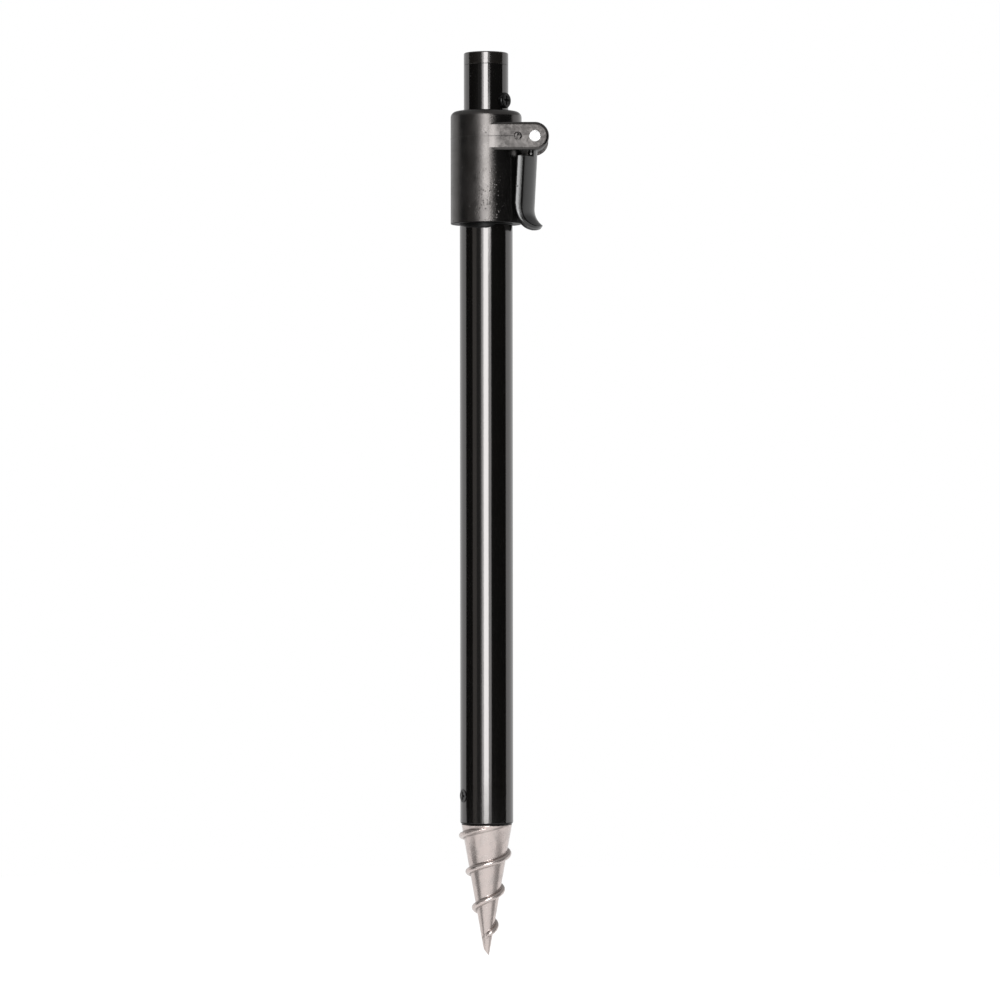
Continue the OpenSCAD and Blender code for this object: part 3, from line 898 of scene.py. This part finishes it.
@dataclass
class CamLever:
    """The cam lever: a barrel hub with its cam, and a roof-backed arm that ends in a finger lip."""

    hub_r: float = 4.4
    width: float = 18.96
    bore_r: float = 2.55
    cam_rise: float = 0.6
    cam_drop: float = 0.56
    cam_w: float = 8.9
    cam_end: Pair = (215, 245)
    open_turn: float = 110
    tilt: float = 3
    ridge_x: float = 1.28
    arm_w: float = 18.76
    arm_len: float = 25.1
    neck_w: float = 10
    neck_corner: float = 1.0
    shoulder: float = 6.6
    sag: float = 4.55
    roof_power: float = 1.8
    wall: Pair = (2.2, 2.85)
    corner: float = 0.45
    crown_r: float = 6.9
    crown_at: float = 0.66
    lip_r: float = 7
    lip_turn: float = 58
    lip_from: float = 24
    lip_power: float = 2.1
    lip_thin: float = 0.7
    lip_rounder: float = 0.12
    voxel: float = 0.164

    @property
    def end(self) -> float:
        """Length of the arm and its lip along the ridge."""
        return self.arm_len + self.lip_r * math.radians(self.lip_turn)

    def down_lip(self, s: float) -> float:
        """How far down the lip a place on the ridge is, from 0 to 1."""
        return min(max((s - self.lip_from) / (self.end - self.lip_from), 0), 1)

    def half_width(self, s: float) -> float:
        """Half the arm's width, this far down it."""
        return self.arm_w / 2 * (1 - self.down_lip(s) ** self.lip_power) ** (1 / self.lip_power)

    def section(self, s: float, half: float, inset: float, corner: float) -> np.ndarray:
        """The arm's section this far down it.

        Args:
            s: Distance from the pivot along the ridge, in millimetres.
            half: Half its width.
            inset: How far its outline lies inside the full one, at a rounded end.
            corner: Radius of its two corners at each side.

        Returns:
            A loop of points as offset from the ridge and position along the pivot.
        """
        half -= inset
        y = (half - corner) * np.sin(np.linspace(-math.pi / 2, math.pi / 2, 39))
        share = np.abs(y) / (self.arm_w / 2 - self.corner)
        outer = -(self.sag * share ** self.roof_power) - inset
        thin = 1 - (1 - self.lip_thin) * self.down_lip(s)
        wall = (self.wall[0] + (self.wall[1] - self.wall[0]) * share ** 2) * thin - 2 * inset
        corner = min(corner, 0.49 * wall[0])
        t = np.linspace(0, 1, 15)[1:-1] * wall[-1]
        near = np.minimum(t, wall[-1] - t)
        round_off = corner - np.sqrt(np.maximum(corner ** 2 - np.maximum(corner - near, 0) ** 2, 0))
        edge = y[-1] + corner - round_off - (t - self.crown_at * wall[-1]) ** 2 / (2 * self.crown_r)
        side = outer[-1] - t
        n = np.concatenate([outer, side, (outer - wall)[::-1], side[::-1]])
        return np.column_stack([n, np.concatenate([y, edge, y[::-1], -edge[::-1]])])

    def placed(self, s: float, section: np.ndarray) -> np.ndarray:
        """A section's points in the stick's frame, at a distance down the arm and round the lip's bend."""
        n, y = section.T
        x, z = self.ridge_x + n, np.full_like(n, -s)
        if s > self.arm_len:
            a = (s - self.arm_len) / self.lip_r
            x = self.ridge_x + self.lip_r - (self.lip_r - n) * math.cos(a)
            z = -self.arm_len - (self.lip_r - n) * math.sin(a)
        c, d = math.cos(math.radians(self.tilt)), math.sin(math.radians(self.tilt))
        return np.column_stack([x * c + z * d + PIVOT[0], y, z * c - x * d + PIVOT[1]])

    def arm(self) -> Mesh:
        """The wide arm, from its rounded shoulders to the end of its lip, as one loft."""
        r = self.corner
        rings = [self.placed(self.shoulder + r * (1 - math.cos(a)),
                             self.section(self.shoulder, self.arm_w / 2, r * (1 - math.sin(a)), r))
                 for a in np.radians([0, 20, 45, 70])]
        u = np.sin(np.linspace(0, math.pi / 2 * 0.965, 44))
        stations = np.concatenate([np.linspace(self.shoulder + r, self.lip_from, 32)[:-1],
                                   self.lip_from + (self.end - self.lip_from) * u])
        for s in stations.tolist():
            half = self.half_width(s)
            rounder = min(r + self.lip_rounder * self.down_lip(s), 0.8 * half)
            rings.append(self.placed(s, self.section(s, half, 0, rounder)))
        return loft("arm", rings)

    def neck(self) -> Mesh:
        """The narrow neck that joins the arm to its hub, with well rounded sides."""
        return loft("neck", [self.placed(s, self.section(s, self.neck_w / 2, 0, self.neck_corner))
                             for s in np.linspace(-1.5, self.shoulder + 2, 20)])

    def barrel(self, half: float, outline: Callable[[float], float], edge: float) -> Mesh:
        """A drum along the pivot whose radius depends on the angle, with its ends rounded."""
        angles = np.radians(np.arange(0, 360, 3.0))
        radii = np.array([outline(math.degrees(a)) for a in angles])
        steps = ((-half, edge), (-half + edge * 0.3, edge * 0.3), (-half + edge, 0))
        rings = []
        for y, inset in steps + tuple((-y, inset) for y, inset in reversed(steps)):
            r = radii - inset
            rings.append(np.column_stack([PIVOT[0] + r * np.cos(angles), np.full_like(r, y),
                                          PIVOT[1] + r * np.sin(angles)]))
        return loft("barrel", rings)

    def cam_radius(self, angle: float) -> float:
        """Radius of the cam at an angle up from +X."""
        reach = self.hub_r + self.cam_rise
        low, high = self.cam_end
        if 180 - self.open_turn <= angle <= 180:
            return reach - self.cam_drop * (180 - angle) / self.open_turn
        if 180 < angle <= low:
            return reach
        if low < angle <= high:
            return reach - self.cam_rise * (angle - low) / (high - low)
        return self.hub_r - self.cam_rise

    def build(self, finishes: Finishes) -> None:
        """Builds and dresses the lever."""
        hub = self.barrel(self.width / 2, lambda _: self.hub_r, 0.35)
        cam = self.barrel(self.cam_w / 2, self.cam_radius, 0.15)
        piece = fused(new_object("cam_lever_arm", self.arm(), self.neck(), hub, cam), self.voxel)
        soften(piece.data)
        cut(piece, loft("bore", [[(PIVOT[0] + x, y, PIVOT[1] + z) for x, z in circle(self.bore_r, 72)]
                                 for y in (-self.width, self.width)]))
        dress(piece, 50, "lever", "lever_plastic", finishes.lever, "cam_lever")


@dataclass(frozen=True)
class Bump:
    """A round bump on the gate's mark, in millimetres from its middle, and its rise against the mark's."""

    x: float
    z: float
    radius: float
    rise: float

    def at(self, x: float, z: float) -> float:
        """How near a place is to its top, from 0 to 1."""
        return math.exp(-((math.hypot(x - self.x, z - self.z) / self.radius) ** 2))


@dataclass
class Collar:
    """The moulded collar, with the witness line of its mould, the mark of its gate, its pin and its pad."""

    radius: float = 12.78
    ear_face: float = 12.73
    seam_w: float = 0.1
    seam_inset: float = 0.025
    gate_x: float = 11.35
    gate_r: float = 1.65
    gate_grid: tuple[int, int] = (16, 48)
    gate_ring: Pair = (0.74, 0.13)
    gate_bumps: tuple[Bump, ...] = (Bump(-0.35, -0.4, 0.45, 0.7), Bump(0.2, 0.42, 0.4, 1.8))
    gate_lifts: Pair = (0.08, 1.7)
    tear_grain: Pair = (2.4, 6)
    relief: float = 0.17
    mouth_r: Pair = (2.0, 2.6)
    mouth_y: Pair = (12.5, 12.69)
    mouth_edge: float = 0.05

    def dress(self, name: str, mesh: Mesh, sharp: float, finishes: Finishes) -> None:
        """Dresses one of the collar's small pieces."""
        dress(new_object(name, mesh), sharp, "stick_base", "collar_plastic", finishes.collar)

    def seam(self, group: Group, finishes: Finishes) -> None:
        """Builds the witness line round the collar and along both ears."""
        straight = [(x, -self.ear_face) for x in np.linspace(self.gate_x - self.gate_r, 0, 12)]
        around = arc((0, 0), self.radius, -92, -268, 89)
        points = straight + around + [(x, -y) for x, y in reversed(straight)]
        inset = (self.radius - self.seam_inset) / self.radius
        chain = bpy.data.meshes.new("line")
        chain.from_pydata([(x * MM, y * inset * MM, PIVOT[1] * MM) for x, y in points],
                          [(i, i + 1) for i in range(len(points) - 1)], [])
        values = {"Width": self.seam_w * MM, "Sides": 6, "Finish": finishes.collar}
        self.dress("mould_line", group.run("mould_line", values, chain), 60, finishes)

    def gate_mark(self, finishes: Finishes) -> None:
        """Builds the torn ring that the mould's gate leaves on the front ear."""
        (rings, sides), (crest, width) = self.gate_grid, self.gate_ring
        (least, most), (coarse, fine) = self.gate_lifts, self.tear_grain
        rows = []
        for share in (i / rings for i in range(rings + 1)):
            r = max(self.gate_r * share, 1e-3)
            row = []
            for t in (2 * math.pi * k / sides for k in range(sides)):
                x, z = r * math.cos(t), r * math.sin(t)
                rough = noise.noise(Vector((x * coarse, z * coarse, 3.1)))
                rough += 0.5 * noise.noise(Vector((x * fine, z * fine, 1.7)))
                torn = 1 + 0.5 * math.cos(t - 0.9) + 1.5 * rough
                lift = least + math.exp(-(((share - crest) / width) ** 2)) * torn
                for bump in self.gate_bumps:
                    lift += bump.rise * (bump.at(x, z) * (1 + rough))
                # It fades out at its edge
                lift = min(most, max(0.0, lift)) * (1 - share ** 8)
                row.append((self.gate_x + x, -self.ear_face - self.relief * lift, PIVOT[1] + z))
            rows.append(row)
        rows.append([(x, 0.05 - self.ear_face, z) for x, _, z in rows[-1]])
        self.dress("gate_mark", loft("gate_mark", rows), 60, finishes)

    def mouths(self, finishes: Finishes) -> None:
        """Builds the two moulded lips that close over the ends of the pin, round its clear hole."""
        inner, outer = self.mouth_r
        low, high = self.mouth_y
        lips = []
        for side in (-1, 1):
            lip = lathe("lip", [(inner, low), (outer, low), (outer, high), (inner + self.mouth_edge, high),
                                (inner, high - self.mouth_edge)], 72, closed=True)
            place = Matrix.Translation((PIVOT[0] * MM, 0, PIVOT[1] * MM))
            lip.transform(place @ Matrix.Rotation(side * math.pi / -2, 4, "X"))
            lips.append(lip)
        self.dress("pin_mouths", joined("pin_mouths", *lips), 40, finishes)

    def build(self, group: Group, finishes: Finishes) -> None:
        """Builds and dresses the collar's pieces."""
        dress_node("collar_body", finishes.collar)
        dress_node("pivot_pin", finishes.pin)
        dress_node("pressure_pad", finishes.pad)
        self.seam(group, finishes)
        self.gate_mark(finishes)
        self.mouths(finishes)


@dataclass
class BondLine:
    """The bead of adhesive squeezed out under the collar, deepest at the front."""

    tube_r: float = 9.5
    top: float = 263.45
    proud: float = 0.27
    depths: tuple[Pair, ...] = (
        (-100, 0.4), (-85, 0.42), (-61.6, 0.95), (-43, 1.62), (-13.8, 1.96), (0, 1.9), (8.7, 1.63),
        (15.5, 1.05), (20, 0.5), (35, 0.4))
    section: tuple[Pair, ...] = (
        (-0.1, 0), (1, 0), (1, 0.4), (0.93, 0.62), (0.72, 0.82), (0.4, 0.95), (0, 1), (-0.1, 0.98))
    waves: tuple[tuple[float, float, float], ...] = ((0.06, 5, 0.7), (0.04, 13, 0))

    def depth(self, turn: float) -> float:
        """Depth of the bead, this many degrees round from the front, with its waves."""
        wave = sum(high * math.sin(math.radians(turn) * count + start) for high, count, start in self.waves)
        return float(np.interp(turn, *zip(*self.depths))) + wave

    def build(self, finishes: Finishes) -> None:
        """Builds and dresses the bead."""
        rings = []
        for turn in np.arange(-180, 180, 3.0):
            c, s = math.cos(math.radians(turn - 90)), math.sin(math.radians(turn - 90))
            rings.append([((self.tube_r + self.proud * out) * c, (self.tube_r + self.proud * out) * s,
                           self.top - drop * self.depth(turn)) for out, drop in self.section])
        piece = new_object("bond_line", loft("bond_line", rings, closed=True))
        dress(piece, 50, "stick_base", "collar_plastic", finishes.bond)


@dataclass
class TopFitting:
    """The rim that closes the inner tube and the plug below it, with a fine bevel at their joint."""

    rim_r: float = 8
    plug_r: float = 6.87
    plug_bevel: float = 0.3
    pocket_r: float = 5.38
    pocket_bevel: float = 0.15
    heights: tuple[float, float, float, float] = (302.05, 311, 320.55, 325)
    bevel: float = 0.19
    land: float = 0.12
    edge: float = 0.4
    screw_turn: float = 50
    screw_z: float = 307.5
    hole_r: float = 1.53
    hole_span: Pair = (3, 7)

    def build(self, finishes: Finishes) -> None:
        """Builds and dresses the fitting."""
        low, pocket, joint, high = self.heights
        r, b, start = self.rim_r, self.bevel, high - self.edge
        outline = [(AXIS, low), (self.plug_r - self.plug_bevel, low), (self.plug_r, low + self.plug_bevel),
                   (self.plug_r, joint), (r - b, joint), (r, joint + b), (r, joint + b + self.land),
                   (r, start - self.land), *arc((r - self.edge, start), self.edge, 0, 90, 8),
                   (self.pocket_r + self.pocket_bevel, high), (self.pocket_r, high - self.pocket_bevel),
                   (self.pocket_r, pocket), (AXIS, pocket)]
        near, far = self.hole_span
        hole = lathe("hole", [(AXIS, 0), (self.hole_r, 0), (self.hole_r, far), (AXIS, far)], 48)
        hole.transform(facing(self.screw_turn, near, self.screw_z))
        piece = cut(new_object("rim_and_plug", lathe("rim_and_plug", outline, 144)), hole)
        dress(piece, 40, "inner_stage", "black_rim", finishes.rim, "top_plug")


@dataclass
class ThreadedBush:
    """The brass bush in the top, with its female thread cut in it."""

    outer_r: float = 5.35
    outer_bevel: float = 0.15
    crest_r: float = 4.2
    root_r: float = 4.76
    lead_in: Pair = (0.2, 0.3)
    span: Pair = (311, 324.9)
    thread_gaps: Pair = (0.7, 0.9)
    pitch: float = 1.27

    def build(self, group: Group, finishes: Finishes) -> None:
        """Builds and dresses the bush."""
        (low, high), (wide, deep), (below, above) = self.span, self.lead_in, self.thread_gaps
        r, root, b = self.outer_r, self.root_r, self.outer_bevel
        wall = [(r, low), (r, high - b), (r - b, high), (root + wide, high), (root, high - deep),
                (root, low + deep), (root + wide, low)]
        run = high - low - (below + above)
        thread = Helix((root, root), run, self.pitch, root - self.crest_r, low + below, steps=60,
                       tapers=(0.04, 0.04))
        piece = new_object("threaded_bush", lathe("wall", wall, 96, closed=True),
                           thread.mesh(group, "thread", finishes.brass))
        dress(piece, 30, "inner_stage", "brass", finishes.brass, "thread_bush")


class Tubes:
    """Both tubes and the guide between them, which keep their CAD shapes."""

    def build(self, finishes: Finishes) -> None:
        """Dresses the tubes."""
        dress_node("outer_tube", finishes.outer_tube)
        dress_node("inner_tube", finishes.inner_tube)
        dress_node("tube_guide", finishes.nylon)


# Studio


@dataclass(frozen=True)
class Panel:
    """A soft panel of light, seen from the stick.

    Args:
        name: Its name.
        span: Its left and right edges, in degrees round from the front.
        heights: Its lower and upper edges, in metres.
        distance: Its distance from the stick, in metres.
        glow: Its radiance, where 1 is white.
        tint: Its colour.
        only: The one CAD node or piece that it lights, if it lights no other.
    """

    name: str
    span: Pair
    heights: Pair
    distance: float
    glow: float
    tint: tuple[float, float, float] = (1, 1, 1)
    only: Optional[str] = None

    def build(self) -> None:
        """Makes the lamp."""
        middle = math.radians(sum(self.span) / 2)
        lamp = bpy.data.lights.new(self.name, "AREA")
        lamp.shape = "RECTANGLE"
        lamp.size = 2 * self.distance * math.tan(math.radians(self.span[1] - self.span[0]) / 2)
        lamp.size_y = self.heights[1] - self.heights[0]
        lamp.energy = self.glow * math.pi * lamp.size * lamp.size_y
        lamp.color = self.tint
        holder = new_object(self.name, lamp)
        outward = Vector((math.sin(middle), -math.cos(middle), 0))
        holder.location = outward * self.distance + Vector((0, 0, sum(self.heights) / 2))
        holder.rotation_euler = outward.to_track_quat("Z", "Y").to_euler()
        holder.visible_camera = False
        if self.only:
            lit = bpy.data.collections.new(self.name)
            nodes = frame["nodes"]
            lit.objects.link(nodes[self.only] if self.only in nodes else bpy.data.objects[self.only])
            holder.light_linking.receiver_collection = lit


@dataclass
class Studio:
    """Camera, lamps, white surroundings, floor and two cards, in metres."""

    distance: float = 1.4
    photo_px: float = 1000
    focal_px: float = 3886
    sensor: float = 36
    centre: Pair = (0.00488, 0.1641)
    roll: float = 0.055
    front_glow: float = 0.004
    cloth_glow: float = 0.3
    sky_glow: float = 0.42
    floor_z: float = -0.02
    floor_r: float = 0.55
    floor_tone: float = 0.7
    card_heights: Pair = (-0.019, 0.025)
    panels: tuple[Panel, ...] = (
        Panel("key_panel", (-11.7, 9.0), (-0.06, 0.75), 1.2, 10.3),
        Panel("left_shoulder", (-20.8, -11.7), (-0.06, 0.75), 1.2, 3.4),
        Panel("right_shoulder", (9.0, 21.2), (-0.06, 0.43), 1.2, 2.0),
        Panel("left_tail", (-27, -20.8), (-0.06, 0.5), 1.2, 0.45),
        Panel("left_dim", (-43, -27), (-0.06, 0.5), 1.2, 0.1),
        Panel("left_fill", (-62, -43), (-0.06, 0.385), 1.2, 0.36, (1, 0.95, 0.9)),
        Panel("upper_right", (10, 18), (0.34, 0.425), 1.25, 6.0),
        Panel("lip_panel", (-11.7, 9.0), (-0.01, 0.2), 0.3, 10.3, only="cam_lever_arm"),
        Panel("behind_pin", (167, 193), (0.08, 0.5), 1.2, 6.0, only="pivot_pin"),
    )

    def camera(self) -> None:
        """Makes the camera at the photograph's place."""
        data = bpy.data.cameras.new("camera")
        data.sensor_width = self.sensor
        data.lens = self.focal_px / self.photo_px * self.sensor
        holder = new_object("camera", data)
        holder.location = (self.centre[0], -self.distance, self.centre[1])
        holder.rotation_euler = (math.pi / 2, math.radians(self.roll), 0)
        bpy.context.scene.camera = holder

    def surroundings(self) -> None:
        """Makes a world that is white to the camera and behind the stick, and dark in front of it.

        The front half stays dark for the gloss pieces, the sky is a soft grey, and the patch straight behind
        the stick is dimmer in reflections, as it is on a real table with a cloth behind it.
        """
        world = bpy.data.worlds.new("studio")
        bpy.context.scene.world = world
        world.use_nodes = True
        t = Tree(world.node_tree)
        x, y, z = t.split(t.add("ShaderNodeTexCoord").outputs["Generated"])
        behind = t.product(t.ramp(t.total(y, t.product(x, 0.04)), 0.105, 0.147, (self.front_glow, 1)),
                           t.ramp(y, 0.93, 0.985, (1, self.cloth_glow)))
        above = t.ramp(z, 0.2, 0.36)
        glow = t.total(t.product(behind, t.math("SUBTRACT", 1.0, above)), t.product(above, self.sky_glow))
        ray = t.add("ShaderNodeLightPath").outputs
        plain = t.math("MAXIMUM", ray["Is Camera Ray"], ray["Is Transmission Ray"])
        mixed = t.add("ShaderNodeMixShader", Fac=plain)
        for index, strength in ((1, glow), (2, 1.0)):
            shine = t.add("ShaderNodeBackground", Color=WHITE, Strength=strength)
            t.fill(mixed.inputs[index], shine.outputs[0])
        t.add("ShaderNodeOutputWorld", Surface=mixed.outputs[0])

    def floor(self) -> None:
        """Makes the pale floor, which shows white to the camera and in the metal and keeps a soft shadow."""
        sheet = Sheet("pale_floor")
        sheet.paint(Base_Color=(*[self.floor_tone] * 3, 1), Roughness=1.0, Specular_IOR_Level=0.0)
        ray = sheet.add("ShaderNodeLightPath").outputs
        seen = sheet.math("MAXIMUM", ray["Is Camera Ray"], ray["Is Glossy Ray"], ray["Is Transmission Ray"])
        glow = sheet.add("ShaderNodeEmission", Color=WHITE, Strength=sheet.product(seen, self.floor_tone))
        both = sheet.add("ShaderNodeAddShader")
        for socket, shader in zip(both.inputs, (sheet.shader, glow)):
            sheet.fill(socket, shader.outputs[0])
        sheet.show(both)
        flat("floor", [(x, y, self.floor_z) for x, y in circle(self.floor_r, 120)], sheet.material)

    def card(self, name: str, x: float, low: Pair, high: Pair, glow: Pair) -> None:
        """Makes a grey card beside the point, seen only in reflections.

        Args:
            name: Its name.
            x: Its distance to the right, in metres.
            low: Where its lower edge starts and ends along Y, in metres.
            high: The same for its upper edge.
            glow: Its radiance where it starts, and from 0.6 of the way to its end.
        """
        sheet = Sheet(name)
        fade = sheet.ramp(sheet.split(sheet.place)[1], high[0], 0.6 * high[1] + 0.4 * high[0], glow)
        sheet.show(sheet.add("ShaderNodeEmission", Color=WHITE, Strength=fade))
        bottom, top = self.card_heights
        corners = [(x, low[0], bottom), (x, low[1], bottom), (x, high[1], top), (x, high[0], top)]
        piece = flat(name, corners, sheet.material)
        piece.visible_camera = piece.visible_shadow = piece.visible_diffuse = False

    def build(self) -> None:
        """Makes the whole studio."""
        for panel in self.panels:
            panel.build()
        self.surroundings()
        self.floor()
        self.card("left_card", -0.05, (-0.042, -0.016), (-0.026, 0.008), (0.3, 0.3))
        self.card("right_card", 0.05, (-0.045, 0.004), (-0.045, 0.002), (0.78, 0.42))
        self.camera()
        bpy.context.scene.view_settings.view_transform = "Standard"


def main() -> None:
    """Builds the stick from the ground up, then the studio."""
    logging.basicConfig(level=logging.INFO, format="%(message)s")
    finishes = Finishes()
    helix, seam = helix_group(), seam_group()
    GroundPoint().build(helix, finishes)
    Tubes().build(finishes)
    CrossHeadScrew(
        "point_screw", HeadStyle.COUNTERSUNK, head_r=2.45, head_h=0, length=6.5, turn=-64, out=9.6,
        height=57.8, body="stick_base", node="spike_screw", recess=2.9, depth=0.9).build(helix, finishes)
    Collar().build(seam, finishes)
    BondLine().build(finishes)
    CamLever().build(finishes)
    fitting = TopFitting()
    fitting.build(finishes)
    ThreadedBush().build(helix, finishes)
    CrossHeadScrew(
        "top_screw", HeadStyle.PAN, head_r=2.85, head_h=1.65, length=4.5, turn=fitting.screw_turn, out=8.03,
        height=fitting.screw_z, body="inner_stage", node="plug_screw").build(helix, finishes)
    Studio().build()


if __name__ == "__main__":
    main()
